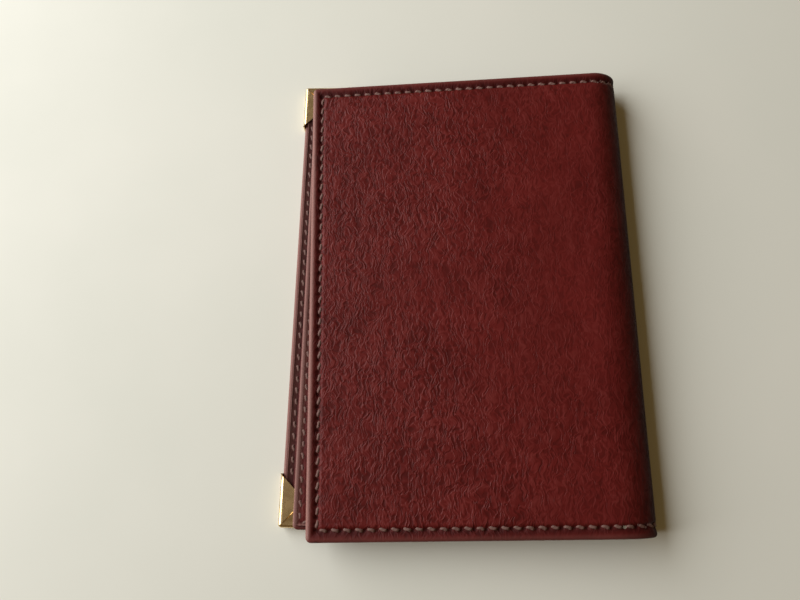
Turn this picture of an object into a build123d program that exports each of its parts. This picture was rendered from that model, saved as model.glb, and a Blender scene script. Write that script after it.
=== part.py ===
"""A passport holder: two boarded leather covers, a folding spine and one hinged page.

Millimetres, +Z up. The holder lies closed on its front cover, with the spine along +X and
the covers' length along Y. Each cover is skewed a little about the fold, as a sheet is when
it is folded slightly off square, so the two covers line up only when the holder is open.
"""

import os
from math import asin, atan2, cos, degrees, pi, radians, sin

from build123d import *

# Covers
LENGTH = 136.0             # along the spine
FRONT_REACH = 93.7         # from the spine's axis to the front cover's open edge
BACK_REACH = 87.8          # the same, back cover
SPINE_RADIUS = 5.95        # outer skin of the fold
OPEN_EDGE_HEIGHT = 9.05    # top of the back cover at its open edge, when closed
SKEW = 1.08                # degrees, each cover's edges against the fold
CORNER_RADIUS = 1.5

# Layers of a cover, as depths from its outer face
LEATHER = 0.9
BOARD_BOTTOM = 0.9
BOARD_TOP = 1.7
LINING_TOP = 2.1
FLANGE_TOP = 2.4           # the leather's turned-in margin
POCKET_TOP = 3.0
FLANGE_WIDTH = 8.0
BOARD_ROOT = 3.5           # the board stops short of the fold by this much
BOARD_ROOM = 0.5           # room in the leather beyond the board's end
LINING_RISER = 1.0         # width of the lining where it steps down past the board
POCKET_INSET = 1.2         # the sleeve's sewn edges, in from the cover's
POCKET_MOUTH = 42.0        # from the spine's axis to the sleeve's open edge
SPINE_LINING = 0.5
SPINE_FLANGE = 0.7

# Saddle stitching
STITCH_INSET = 3.2         # from the covers' ends and the back cover's open edge
FRONT_STITCH_INSET = 2.6   # from the front cover's open edge
STITCH_PITCH = 3.2
STITCH_LENGTH = 2.4
STITCH_WIDTH = 0.55
STITCH_SLANT = 12.0
STITCH_ROOT = 1.5          # a cover's end runs stop this far from the spine's axis
FIRST_STITCH = 0.7         # first stitch of an end run, in pitches from the corner
GROOVE_DEPTH = 0.45
GROOVE_WIDTH = 1.2
THREAD_SINK = 0.1          # top of the thread below the surface it lies in
PAST_SKIN = 1.0            # how far the groove's cutting shape stands outside the fold
PAST_FOLD = 9.0            # how far sheets run past the spine's axis before they are cut there

# Brass corner caps
CAP_LEG = 14.0
CAP_FACE = 0.35
CAP_WALL = 0.4
CAP_RADIUS = 1.9

# The fold: four leather hinges, each between two strips of 45 degrees
HINGE_ANGLES = (22.5, 67.5, 112.5, 157.5)
HINGE_GAP = 0.15           # half the gap between strips, along the skin

# Page
PAGE_REACH = 90.1          # from the spine's axis to the page's open edge
PAGE_HALF = 67.0
PAGE_SHIFT = -1.0          # the page sits a little towards the lower end
PAGE_SKEW = 0.76
PAGE_HINGE = 2.2           # hinge axis, from the spine's axis towards the spine
PAGE_EDGE_HEIGHT = 4.7     # the page's middle at its open edge, when closed
PAGE_ROOT = 1.6            # leathers stop this far from the hinge
PAGE_FRONT = (-1.05, -0.6)
PAGE_FILM = (-0.6, -0.45)
PAGE_BOARD = (-0.45, -0.05)
PAGE_BACK = (-0.05, 0.35)
PAGE_RIM = 0.8
PAGE_BOARD_ROOT = 6.5
SLOT_SHEET = 0.2
SLOT_MOUTHS = (30.0, 14.0, -2.0)
SLOT_INSET = 1.2
WINDOW_SIZE = (64.0, 96.0)
WINDOW_CENTRE = -46.0
WINDOW_RADIUS = 4.0
WINDOW_MARGIN = 4.0
HINGE_WIRE = 0.45          # radius of the rolled edge that the page turns about
HINGE_TRIM = 6.0           # the hinge stops short of the page's ends by this much
STRIP_GAP = 0.5
ANCHOR_GAP = 0.25
ANCHOR_HALF = 1.2          # half the height of the strip that holds the page to the spine
ANCHOR_TRIM = 1.0          # the strip's ends stop this far inside the turned-in leather
PAGE_STITCH_INSET = 2.1
PAGE_STITCH_ROOT = 3.6

# Worked out
HALF = LENGTH / 2
TILT = degrees(asin((2 * SPINE_RADIUS - OPEN_EDGE_HEIGHT) / BACK_REACH))
FOLD_END = 180.0 + TILT
CAP_REACH = FRONT_REACH + CAP_WALL
CAP_HALF = HALF + CAP_WALL
SKEW_COS = cos(radians(SKEW))
SKEW_SIN = sin(radians(SKEW))
LOW_X = -((CAP_REACH - CAP_RADIUS) * SKEW_COS + (CAP_HALF - CAP_RADIUS) * SKEW_SIN) - CAP_RADIUS
HIGH_Y = (CAP_REACH - CAP_RADIUS) * SKEW_SIN + (CAP_HALF - CAP_RADIUS) * SKEW_COS + CAP_RADIUS
LOW_Y = -((BACK_REACH - CORNER_RADIUS) * SKEW_SIN + (HALF - CORNER_RADIUS) * SKEW_COS) - CORNER_RADIUS
FOLD_X = -(LOW_X + SPINE_RADIUS) / 2
FOLD_Y = -(LOW_Y + HIGH_Y) / 2
GAP_ANGLE = degrees(HINGE_GAP / SPINE_RADIUS)
INNER_SKIN = SPINE_RADIUS - LEATHER
INNER_LINING = INNER_SKIN - SPINE_LINING


def skewed(plane, angle):
    """The same plane turned clockwise about its own normal."""
    turned = plane.x_dir.rotate(Axis((0, 0, 0), plane.z_dir), -angle)
    return Plane(origin=plane.origin, x_dir=turned, z_dir=plane.z_dir)


# Planes: x runs towards the spine, z runs inwards from the outer face
FRONT_FOLD = Plane(origin=(FOLD_X, FOLD_Y, 0), x_dir=(1, 0, 0), z_dir=(0, 0, 1))
BACK_FOLD = Plane(
    origin=(
        FOLD_X - SPINE_RADIUS * sin(radians(TILT)),
        FOLD_Y,
        SPINE_RADIUS + SPINE_RADIUS * cos(radians(TILT)),
    ),
    x_dir=(cos(radians(TILT)), 0, sin(radians(TILT))),
    z_dir=(sin(radians(TILT)), 0, -cos(radians(TILT))),
)
FRONT = skewed(FRONT_FOLD, SKEW)
BACK = skewed(BACK_FOLD, SKEW)

PAGE_SPAN = PAGE_REACH + PAGE_HINGE
PAGE_SLOPE = degrees(atan2(SPINE_RADIUS - PAGE_EDGE_HEIGHT, PAGE_SPAN))
PAGE_FOLD = Plane(
    origin=(FOLD_X + PAGE_HINGE, FOLD_Y + PAGE_SHIFT, SPINE_RADIUS),
    x_dir=(cos(radians(PAGE_SLOPE)), 0, sin(radians(PAGE_SLOPE))),
    z_dir=(-sin(radians(PAGE_SLOPE)), 0, cos(radians(PAGE_SLOPE))),
)
PAGE = skewed(PAGE_FOLD, PAGE_SKEW)


def finish(piece, name):
    """Label one finished piece and write it."""
    piece.part.label = name
    export_step(piece.part, f"parts/{name}.step")


def slab(plane, west, east, half, depths, radius=0.0, mode=Mode.ADD):
    """A flat sheet from x = west to x = east, half wide each way, between two depths."""
    with BuildSketch(plane.offset(depths[0])) as outline:
        with Locations(((west + east) / 2, 0)):
            if radius > 0:
                RectangleRounded(east - west, 2 * half, radius)
            else:
                Rectangle(east - west, 2 * half)
    extrude(outline.sketch, amount=depths[1] - depths[0], mode=mode)


def fold_wall(start, end, outer, inner, low, high, mode=Mode.ADD):
    """Part of the fold's round wall, from angle start to end, from y = low to y = high."""
    end_plane = Plane(origin=(FOLD_X, FOLD_Y + high, SPINE_RADIUS), x_dir=(1, 0, 0), z_dir=(0, -1, 0))
    with BuildSketch(end_plane) as sector:
        with BuildLine():
            outside = CenterArc((0, 0), outer, start - 90, end - start)
            inside = CenterArc((0, 0), inner, start - 90, end - start)
            Line(outside @ 0, inside @ 0)
            Line(outside @ 1, inside @ 1)
        make_face()
    extrude(sector.sketch, amount=high - low, mode=mode)


def keep_before(plane, distance):
    """Cut the current piece off square to the fold, keeping what is on the open side."""
    face = Plane(origin=plane.origin + plane.x_dir * distance, z_dir=plane.x_dir)
    split(bisect_by=face, keep=Keep.BOTTOM)


def leather_fold(start, end):
    """The outer leather round the fold, with its turned-in ends and its stitching groove."""
    fold_wall(start, end, SPINE_RADIUS, INNER_SKIN, -HALF, HALF)
    for low in (-HALF, HALF - FLANGE_WIDTH):
        fold_wall(start, end, INNER_SKIN, INNER_SKIN - SPINE_FLANGE, low, low + FLANGE_WIDTH)
    groove = SPINE_RADIUS - GROOVE_DEPTH
    for middle in (STITCH_INSET - HALF, HALF - STITCH_INSET):
        low = middle - GROOVE_WIDTH / 2
        fold_wall(start, end, SPINE_RADIUS + PAST_SKIN, groove, low, low + GROOVE_WIDTH, Mode.SUBTRACT)


def groove_runs(plane, west, east, half, top, depth, edge_inset):
    """Cut the stitching groove along a panel's open edge and its two ends."""
    line_x = west + edge_inset
    line_y = half - STITCH_INSET
    with BuildSketch(plane.offset(top)) as channel:
        with Locations((line_x, 0)):
            Rectangle(GROOVE_WIDTH, 2 * line_y + GROOVE_WIDTH)
        for y in (-line_y, line_y):
            with Locations(((line_x + east) / 2, y)):
                Rectangle(east - line_x, GROOVE_WIDTH)
    extrude(channel.sketch, amount=depth, mode=Mode.SUBTRACT)


def stitch_places(reach, half, end, clear_corner, edge_inset, end_inset):
    """Centres and directions of the stitches along a panel's open edge and its two ends."""
    places = []
    line_x = reach - edge_inset
    line_y = half - end_inset
    end_count = int((line_x - end) / STITCH_PITCH)
    for index in range(end_count):
        x = line_x - (index + FIRST_STITCH) * STITCH_PITCH
        for y in (-line_y, line_y):
            places.append((-x, y, 0))
    side_count = int(2 * line_y / STITCH_PITCH)
    side_pitch = 2 * line_y / side_count
    for index in range(side_count):
        places.append((-line_x, -line_y + (index + 0.5) * side_pitch, 90))
    room = clear_corner + STITCH_LENGTH / 2
    return [p for p in places if (reach + p[0]) + (half - abs(p[1])) > room]


def stitch_bars(plane, places, low, high):
    """A group of separate slanted stitches between two depths."""
    with BuildSketch(plane.offset(low)) as bars:
        for x, y, direction in places:
            with Locations((x, y)):
                Rectangle(STITCH_LENGTH, STITCH_WIDTH, rotation=direction + STITCH_SLANT)
    extrude(bars.sketch, amount=high - low)


def cap_prism(end, low, high, mode=Mode.ADD):
    """The triangular envelope of a corner cap at one end, between two depths."""
    point = (-CAP_REACH, end * CAP_HALF)
    with BuildSketch(FRONT.offset(low)) as outline:
        with BuildLine():
            Polyline(
                point,
                (point[0] + CAP_LEG, point[1]),
                (point[0], point[1] - end * CAP_LEG),
                close=True,
            )
        make_face()
        fillet(outline.vertices().sort_by_distance((*point, 0))[0], CAP_RADIUS)
    extrude(outline.sketch, amount=high - low, mode=mode)


def cover_leather(panel, fold, reach, fold_start, fold_end, edge_inset):
    """Outer leather turned in over the board, running on into its part of the fold."""
    with BuildPart() as leather:
        slab(panel, -reach, PAST_FOLD, HALF, (0, FLANGE_TOP), CORNER_RADIUS)
        board_end = BOARD_ROOM - BOARD_ROOT
        board_half = HALF - LEATHER
        slab(panel, LEATHER - reach, board_end, board_half, (BOARD_BOTTOM, BOARD_TOP), 0, Mode.SUBTRACT)
        inner_edge = FLANGE_WIDTH - reach
        inner_half = HALF - FLANGE_WIDTH
        slab(panel, inner_edge, PAST_FOLD, inner_half, (BOARD_TOP, FLANGE_TOP), 0, Mode.SUBTRACT)
        slab(panel, -BOARD_ROOT, PAST_FOLD, inner_half, (LEATHER, FLANGE_TOP), 0, Mode.SUBTRACT)
        groove_runs(panel, -reach, PAST_FOLD, HALF, 0, GROOVE_DEPTH, edge_inset)
        groove_runs(panel, -reach, PAST_FOLD, HALF, FLANGE_TOP - GROOVE_DEPTH, GROOVE_DEPTH, edge_inset)
        keep_before(fold, 0)
        leather_fold(fold_start, fold_end)
    return leather


def cover_board(panel, reach):
    """The stiff board inside a cover."""
    with BuildPart() as board:
        slab(panel, LEATHER - reach, -BOARD_ROOT, HALF - LEATHER, (BOARD_BOTTOM, BOARD_TOP))
    return board


def cover_lining(panel, fold, reach, fold_start, fold_end):
    """Lining over the board, stepping down beyond it into its part of the fold."""
    half = HALF - FLANGE_WIDTH
    riser_end = LINING_RISER - BOARD_ROOT
    with BuildPart() as lining:
        slab(panel, FLANGE_WIDTH - reach, riser_end, half, (BOARD_TOP, LINING_TOP))
        slab(panel, -BOARD_ROOT, riser_end, half, (LEATHER, LINING_TOP))
        slab(panel, -BOARD_ROOT, PAST_FOLD, half, (LEATHER, LEATHER + SPINE_LINING))
        keep_before(fold, 0)
        fold_wall(fold_start, fold_end, INNER_SKIN, INNER_LINING, -half, half)
    return lining


def cover_pocket(panel, reach, edge_inset):
    """The passport sleeve, sewn to the cover's margin on three sides."""
    with BuildPart() as pocket:
        half = HALF - POCKET_INSET
        slab(panel, POCKET_INSET - reach, -POCKET_MOUTH, half, (FLANGE_TOP, POCKET_TOP), CORNER_RADIUS)
        top = POCKET_TOP - GROOVE_DEPTH
        groove_runs(panel, -reach, -POCKET_MOUTH - GROOVE_DEPTH, HALF, top, GROOVE_DEPTH, edge_inset)
    return pocket


def cover_stitching(panel, reach, clear_corner, edge_inset):
    """One row of saddle stitching, seen on the cover's outer and inner faces."""
    places = stitch_places(reach, HALF, STITCH_ROOT, clear_corner, edge_inset, STITCH_INSET)
    sunk = GROOVE_DEPTH - THREAD_SINK
    on_pocket = [p for p in places if p[0] < -POCKET_MOUTH - STITCH_LENGTH]
    on_flange = [p for p in places if p[0] > -POCKET_MOUTH + STITCH_LENGTH]
    with BuildPart() as stitching:
        stitch_bars(panel, places, THREAD_SINK, GROOVE_DEPTH)
        stitch_bars(panel, on_pocket, POCKET_TOP - GROOVE_DEPTH, POCKET_TOP - GROOVE_DEPTH + sunk)
        stitch_bars(panel, on_flange, FLANGE_TOP - GROOVE_DEPTH, FLANGE_TOP - GROOVE_DEPTH + sunk)
    return stitching


def corner_cap(end):
    """A brass cap folded over one outer corner of the front cover."""
    with BuildPart() as cap:
        cap_prism(end, 0, POCKET_TOP + CAP_FACE)
        slab(FRONT, -FRONT_REACH, 0, HALF, (CAP_FACE, POCKET_TOP), CORNER_RADIUS, Mode.SUBTRACT)
    return cap


os.makedirs("parts", exist_ok=True)

# Front cover, which lies on the table
front_end = HINGE_ANGLES[0] - GAP_ANGLE
front_leather = cover_leather(FRONT, FRONT_FOLD, FRONT_REACH, 0, front_end, FRONT_STITCH_INSET)
with BuildPart() as front_cover_leather:
    add(front_leather.part)
    for end in (-1, 1):
        cap_prism(end, 0, CAP_FACE, Mode.SUBTRACT)
finish(front_cover_leather, "front_cover_leather")
finish(cover_board(FRONT, FRONT_REACH), "front_cover_board")
finish(cover_lining(FRONT, FRONT_FOLD, FRONT_REACH, 0, front_end), "front_lining")
finish(cover_pocket(FRONT, FRONT_REACH, FRONT_STITCH_INSET), "front_pocket")
finish(cover_stitching(FRONT, FRONT_REACH, CAP_LEG, FRONT_STITCH_INSET), "front_stitching")
finish(corner_cap(1), "front_corner_top")
finish(corner_cap(-1), "front_corner_bottom")

# Back cover
back_start = HINGE_ANGLES[3] + GAP_ANGLE
back_leather = cover_leather(BACK, BACK_FOLD, BACK_REACH, back_start, FOLD_END, STITCH_INSET)
finish(back_leather, "back_cover_leather")
finish(cover_board(BACK, BACK_REACH), "back_cover_board")
finish(cover_lining(BACK, BACK_FOLD, BACK_REACH, back_start, FOLD_END), "back_lining")
finish(cover_pocket(BACK, BACK_REACH, STITCH_INSET), "back_pocket")
finish(cover_stitching(BACK, BACK_REACH, 0, STITCH_INSET), "back_stitching")

# Spine: three strips between the hinges
for name, low_hinge, high_hinge in (
    ("front", HINGE_ANGLES[0], HINGE_ANGLES[1]),
    ("middle", HINGE_ANGLES[1], HINGE_ANGLES[2]),
    ("back", HINGE_ANGLES[2], HINGE_ANGLES[3]),
):
    start = low_hinge + GAP_ANGLE
    end = high_hinge - GAP_ANGLE
    with BuildPart() as spine_leather:
        leather_fold(start, end)
    finish(spine_leather, f"spine_leather_{name}")
    lining_half = HALF - FLANGE_WIDTH
    with BuildPart() as spine_lining:
        fold_wall(start, end, INNER_SKIN, INNER_LINING, -lining_half, lining_half)
    finish(spine_lining, f"spine_lining_{name}")
    with BuildPart() as spine_stitching:
        half_stitch = degrees(STITCH_LENGTH / 2 / SPINE_RADIUS)
        middle = (low_hinge + high_hinge) / 2
        groove = SPINE_RADIUS - GROOVE_DEPTH
        for y in (STITCH_INSET - HALF, HALF - STITCH_INSET):
            low = y - STITCH_WIDTH / 2
            fold_wall(
                middle - half_stitch, middle + half_stitch,
                SPINE_RADIUS - THREAD_SINK, groove, low, low + STITCH_WIDTH,
            )
    finish(spine_stitching, f"spine_stitching_{name}")

# Page, hinged inside the fold
with BuildPart() as page_anchor_strip:
    west = PAGE_HINGE + HINGE_WIRE + ANCHOR_GAP
    anchor_end = HALF - FLANGE_WIDTH - ANCHOR_TRIM
    end_plane = Plane(origin=(FOLD_X, FOLD_Y + anchor_end, SPINE_RADIUS), x_dir=(1, 0, 0), z_dir=(0, -1, 0))
    with BuildSketch(end_plane):
        with Locations(((west + INNER_LINING) / 2, 0)):
            Rectangle(INNER_LINING - west, 2 * ANCHOR_HALF)
    extrude(amount=2 * anchor_end)
    fold_wall(HINGE_ANGLES[1], HINGE_ANGLES[2], SPINE_RADIUS, INNER_LINING, -HALF, HALF, Mode.SUBTRACT)
finish(page_anchor_strip, "page_anchor_strip")

with BuildPart() as page_hinge_strip:
    slab(PAGE, STRIP_GAP - PAGE_BOARD_ROOT, CORNER_RADIUS, PAGE_HALF - HINGE_TRIM, PAGE_BOARD)
    keep_before(PAGE_FOLD, 0)
    wire_end = PAGE_FOLD.origin + Vector(0, PAGE_HALF - HINGE_TRIM, 0)
    with BuildSketch(Plane(origin=wire_end, x_dir=PAGE_FOLD.x_dir, z_dir=(0, -1, 0))):
        Circle(HINGE_WIRE)
    extrude(amount=2 * (PAGE_HALF - HINGE_TRIM))
finish(page_hinge_strip, "page_hinge_strip")

with BuildPart() as page_board:
    slab(PAGE, PAGE_RIM - PAGE_SPAN, -PAGE_BOARD_ROOT, PAGE_HALF - PAGE_RIM, PAGE_BOARD)
finish(page_board, "page_board")

with BuildPart() as page_leather_front:
    slab(PAGE, -PAGE_SPAN, PAST_FOLD, PAGE_HALF, PAGE_FRONT, CORNER_RADIUS)
    with BuildSketch(PAGE.offset(PAGE_FRONT[0])):
        with Locations((WINDOW_CENTRE, 0)):
            RectangleRounded(*WINDOW_SIZE, WINDOW_RADIUS)
    extrude(amount=PAGE_FRONT[1] - PAGE_FRONT[0], mode=Mode.SUBTRACT)
    keep_before(PAGE_FOLD, -PAGE_ROOT)
finish(page_leather_front, "page_leather_front")

with BuildPart() as id_window:
    with BuildSketch(PAGE.offset(PAGE_FILM[0])):
        with Locations((WINDOW_CENTRE, 0)):
            Rectangle(WINDOW_SIZE[0] + WINDOW_MARGIN, WINDOW_SIZE[1] + WINDOW_MARGIN)
    extrude(amount=PAGE_FILM[1] - PAGE_FILM[0])
finish(id_window, "id_window")

with BuildPart() as page_leather_back:
    slab(PAGE, -PAGE_SPAN, PAST_FOLD, PAGE_HALF, (PAGE_FRONT[1], PAGE_BACK[1]), CORNER_RADIUS)
    rim_depths = (PAGE_FRONT[1], PAGE_BACK[0])
    slab(PAGE, PAGE_RIM - PAGE_SPAN, PAST_FOLD, PAGE_HALF - PAGE_RIM, rim_depths, 0, Mode.SUBTRACT)
    keep_before(PAGE_FOLD, -PAGE_ROOT)
finish(page_leather_back, "page_leather_back")

for index, mouth in enumerate(SLOT_MOUTHS):
    low_depth = PAGE_BACK[1] + index * SLOT_SHEET
    with BuildPart() as card_slot:
        with BuildSketch(PAGE.offset(low_depth)):
            with Locations(((-PAGE_SPAN - PAGE_ROOT) / 2, (mouth - PAGE_HALF + SLOT_INSET) / 2)):
                Rectangle(PAGE_SPAN - PAGE_ROOT - 2 * SLOT_INSET, mouth + PAGE_HALF - SLOT_INSET)
        extrude(amount=SLOT_SHEET)
    finish(card_slot, f"card_slot_{index + 1}")

page_places = stitch_places(
    PAGE_SPAN, PAGE_HALF, PAGE_STITCH_ROOT, 0, PAGE_STITCH_INSET, PAGE_STITCH_INSET
)
for mouth in SLOT_MOUTHS:
    page_places = [p for p in page_places if abs(p[1] - mouth) > STITCH_LENGTH / 2]
with BuildPart() as page_stitching:
    for layers in range(len(SLOT_MOUTHS) + 1):
        level = PAGE_BACK[1] + layers * SLOT_SHEET
        chosen = [p for p in page_places if sum(p[1] < mouth for mouth in SLOT_MOUTHS) == layers]
        stitch_bars(PAGE, chosen, level, level + SLOT_SHEET)
finish(page_stitching, "page_stitching")

# A hinge's distance from the spine's axis keeps the flat strips as long as the fold's skin
strip_angle = radians(HINGE_ANGLES[1] - HINGE_ANGLES[0])
hinge_distance = SPINE_RADIUS * strip_angle / (2 * sin(strip_angle / 2))
for angle in HINGE_ANGLES:
    x = FOLD_X + hinge_distance * sin(radians(angle))
    z = SPINE_RADIUS - hinge_distance * cos(radians(angle))
    print(f"hinge at {angle}: x {x:.4f} z {z:.4f}")
print(f"page hinge: x {FOLD_X + PAGE_HINGE:.4f} z {SPINE_RADIUS:.4f} slope {PAGE_SLOPE:.3f} tilt {TILT:.3f}")
print(f"fold axis x {FOLD_X:.4f} y {FOLD_Y:.4f}, unrolled quarter {SPINE_RADIUS * pi / 2:.3f}")
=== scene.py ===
from math import asin, atan2, cos, pi, radians, sin

import bmesh
import bpy
import numpy as np
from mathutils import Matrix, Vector


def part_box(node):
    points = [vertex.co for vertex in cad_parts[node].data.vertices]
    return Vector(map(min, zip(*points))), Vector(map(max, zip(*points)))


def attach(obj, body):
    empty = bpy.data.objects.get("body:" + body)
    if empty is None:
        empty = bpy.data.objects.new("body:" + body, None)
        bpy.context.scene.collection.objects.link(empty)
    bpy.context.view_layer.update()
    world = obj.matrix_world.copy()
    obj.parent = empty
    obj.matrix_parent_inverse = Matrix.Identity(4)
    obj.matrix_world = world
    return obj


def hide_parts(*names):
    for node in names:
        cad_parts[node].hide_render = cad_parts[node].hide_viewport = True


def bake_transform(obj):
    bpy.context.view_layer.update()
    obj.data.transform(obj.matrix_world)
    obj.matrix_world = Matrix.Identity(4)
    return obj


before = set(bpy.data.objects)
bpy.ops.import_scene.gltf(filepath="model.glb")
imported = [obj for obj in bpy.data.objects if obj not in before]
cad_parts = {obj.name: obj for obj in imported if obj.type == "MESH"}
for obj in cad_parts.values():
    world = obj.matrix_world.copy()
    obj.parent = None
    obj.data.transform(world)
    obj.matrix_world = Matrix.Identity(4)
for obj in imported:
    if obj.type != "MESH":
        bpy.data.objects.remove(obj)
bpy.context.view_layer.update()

# Lengths are in millimetres until a mesh is made.
MM = 0.001

# Covers
LENGTH = 136.0
FRONT_REACH = 93.7
BACK_REACH = 87.8
OPEN_EDGE_HEIGHT = 9.05
SKEW = radians(1.08)
CORNER_RADIUS = 1.5
COVER_THICK = 2.4
SPINE_THICK = 1.6
FLANGE = 8.0
FLANGE_STEP = 0.6
BOARD_ROOT = 3.0
RIM_WIDTH = 1.3
RIM_REACH = 6.0
SLUMP_REACH = 11.3
SLUMP_SPREAD = -2.2

# Leather surface
PANEL_SINK = 0.06
RELIEF_DEPTH = 0.02
SWELL = (0.05, 0.015)
GRAIN_RANGE = (0.6, 0.35)
GRAIN_LEAST = 0.3
GRAIN_START = 10.0
GRAIN_SPREAD = 65.0
GRAIN_PATCHES = 0.3
# Pale rims: scuffing and a painted highlight, weaker along the ends
PALE_RIM_REACH = 1.8
PALE_RIM_FADE = 1.2
END_SCUFF_AND_HIGHLIGHT = 0.2
# Painted shade along the outside of the fold
FOLD_SHADE = 0.95
FOLD_SHADE_REACH = 7.5

# Lining and passport sleeves, as depths from the outer face
LINING = (1.72, 2.1)
SPINE_LINING = (1.0, 1.4)
LINING_GAP = 0.05
LINING_CORNER = 0.3
LINING_RIM = 0.12
POCKET = (2.42, 3.0)
POCKET_MOUTH = 42.0
MOUTH_ROOM = 0.5
POCKET_INSET = 1.2
POCKET_RIM = 0.25
POCKET_SINK = 0.05
HEM = 1.6
HEM_WIDTH = 0.35
HEM_DEPTH = 0.14

# Stitching
STITCH_INSET = 3.2
FRONT_STITCH_INSET = 2.6
STITCH_PITCH = 3.2
STITCH_LENGTH = 2.6
STITCH_SLANT = radians(17)
THREAD_RADIUS = 0.47
THREAD_DIP = 0.75
THREAD_PLY = 0.13
# The threads' tops: depth in a cover's outer face, or rise above a sheet
OUTER_THREAD = 0.04
SLEEVE_THREAD = 0.05
PAGE_THREAD = -0.06
SLOT_THREAD = 0.12
GROOVE_DEPTH = 0.5
GROOVE_OUTER = 1.2
GROOVE_INNER = 0.6
HOLE_DEPTH = 0.4
HOLE_LENGTH = 0.5
HOLE_WIDTH = 0.6
HOLE_SHIFT = 0.25

# Brass caps
CAP_LEG = 14.0
CAP_SHEET = 0.35
CAP_WALL = 0.4
CAP_TIP = 1.0
CAP_ROUND = 0.9
CAP_TOP = POCKET[1] + CAP_SHEET
CAP_ROOM = 0.4
CAP_BED = 0.05
CAP_SEAM_DEPTH = 0.3
CAP_FLAP_DROP = 0.28
CAP_FLAP_WIDTH = 3.0

# Page, in its own plane: distance from its hinge, along it, and height above its middle
PAGE_REACH = 90.1
PAGE_HINGE = 2.2
PAGE_HALF = 67.0
PAGE_SHIFT = -1.0
PAGE_SKEW = radians(0.76)
PAGE_EDGE_HEIGHT = 4.7
PAGE_ROOT = 1.7
PAGE_FACES = (-1.05, 0.35)
PAGE_FILM = -0.6
PAGE_STITCH_INSET = 2.1
PAGE_GROOVE = 0.35
SLOT_MOUTHS = (30.0, 14.0, -2.0)
SLOT_SHEET = 0.2
SLOT_INSET = 1.2
SLOT_CORNER = 0.6
SLOT_RIM = 0.09
SLOT_HEM_WIDTH = 0.3
SLOT_HEM_DEPTH = 0.06
SLOT_GROOVE = 0.17
WINDOW_CENTRE = -46.0
WINDOW_SIZE = (64.0, 96.0)
WINDOW_RADIUS = 4.0
WINDOW_BEVEL = 0.12
PAGE_RIM = 0.8
PAGE_RIM_END = 1.2
PAGE_FLAT = 5.0
INNER_INSET = 40.0
STRIP_START = -6.0
STRIP_TRIM = 6.0
STRIP_HALF = 0.2
ANCHOR_HALF = 1.2
ANCHOR_FLARE = 1.4

# Mesh spacing, the width of a shaped sheet's finely meshed margin, and a place off the sheet
FINE = 0.46
MEDIUM = 0.8
COARSE = 1.3
RIM_STEP = 0.35
SHAPED_REACH = 3.4
FAR = 1e3

# The fold, read from the frame
low_corner, high_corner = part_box("spine_leather_middle")
RADIUS = (low_corner.z + high_corner.z) / 2 / MM
FOLD_X = high_corner.x / MM - RADIUS
FOLD_Y = (low_corner.y + high_corner.y) / 2 / MM
HALF = LENGTH / 2
TILT = asin((2 * RADIUS - OPEN_EDGE_HEIGHT) / BACK_REACH)
FOLD_LENGTH = RADIUS * (pi + TILT)
QUARTER = RADIUS * pi / 4
FRONT_EDGE = -FRONT_REACH
BACK_EDGE = FOLD_LENGTH + BACK_REACH
PAGE_SPAN = PAGE_REACH + PAGE_HINGE
PAGE_SLOPE = atan2(RADIUS - PAGE_EDGE_HEIGHT, PAGE_SPAN)


# ---- noise

def lattice(ix, iy, seed):
    """Repeatable values from 0 to 1 at whole-number points; the factors only scramble bits."""
    mixed = ix.astype(np.int64) * 374761393 + iy.astype(np.int64) * 668265263 + seed * 69069
    mixed = mixed & 0xFFFFFFFF
    mixed = ((mixed ^ (mixed >> 13)) * 1274126177) & 0xFFFFFFFF
    mixed = ((mixed ^ (mixed >> 15)) * 1103515245) & 0xFFFFFFFF
    return ((mixed ^ (mixed >> 16)) & 0xFFFFFF) / 0xFFFFFF


def smooth(t):
    """Rises from 0 to 1 with level ends."""
    t = np.clip(t, 0, 1)
    return t * t * (3 - 2 * t)


def noise(x, y, seed):
    """Smooth noise from -1 to 1 with features one unit across."""
    ix = np.floor(x)
    iy = np.floor(y)
    fx = smooth(x - ix)
    fy = smooth(y - iy)
    low = lattice(ix, iy, seed) * (1 - fx) + lattice(ix + 1, iy, seed) * fx
    high = lattice(ix, iy + 1, seed) * (1 - fx) + lattice(ix + 1, iy + 1, seed) * fx
    return 2 * (low * (1 - fy) + high * fy) - 1


# ---- the folded sheet and the page

def along_fold(a, b):
    """Distance round the fold of a point of the flat sheet, and its place along the spine."""
    across = a - FOLD_LENGTH / 2
    s = FOLD_LENGTH / 2 + across * cos(SKEW) + b * sin(SKEW)
    return s, FOLD_Y - across * sin(SKEW) + b * cos(SKEW)


def sheet_at(s, b):
    """Where the flat sheet has a distance s round the fold, at a place b along it."""
    return FOLD_LENGTH / 2 + (s - FOLD_LENGTH / 2 - b * sin(SKEW)) / cos(SKEW)


def slump(s, b):
    """How far the back cover's root sinks below the round fold, more towards the lower end."""
    turn = np.clip(s, 0, FOLD_LENGTH) / RADIUS
    inward = RADIUS - RADIUS * np.sin(turn) + np.maximum(s - FOLD_LENGTH, 0)
    reach = SLUMP_REACH + SLUMP_SPREAD * b / HALF
    steep = np.sqrt(1 - np.clip(1 - inward / RADIUS, 0, 1) ** 2)
    gentle = np.sqrt(1 - np.clip(1 - inward / reach, 0, 1) ** 2)
    return np.where(s > FOLD_LENGTH / 2, RADIUS * (steep - gentle), 0.0)


def folded(a, b, depth):
    """The point at flat place (a, b), depth below the outer skin, once the sheet is folded."""
    s, y = along_fold(a, b)
    round_part = np.clip(s, 0, FOLD_LENGTH)
    turn = round_part / RADIUS
    beyond = s - round_part
    x = FOLD_X + (RADIUS - depth) * np.sin(turn) + beyond * np.cos(turn)
    z = RADIUS - (RADIUS - depth) * np.cos(turn) + beyond * np.sin(turn) - slump(s, b)
    return np.stack(np.broadcast_arrays(x, y, z), -1)


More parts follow.
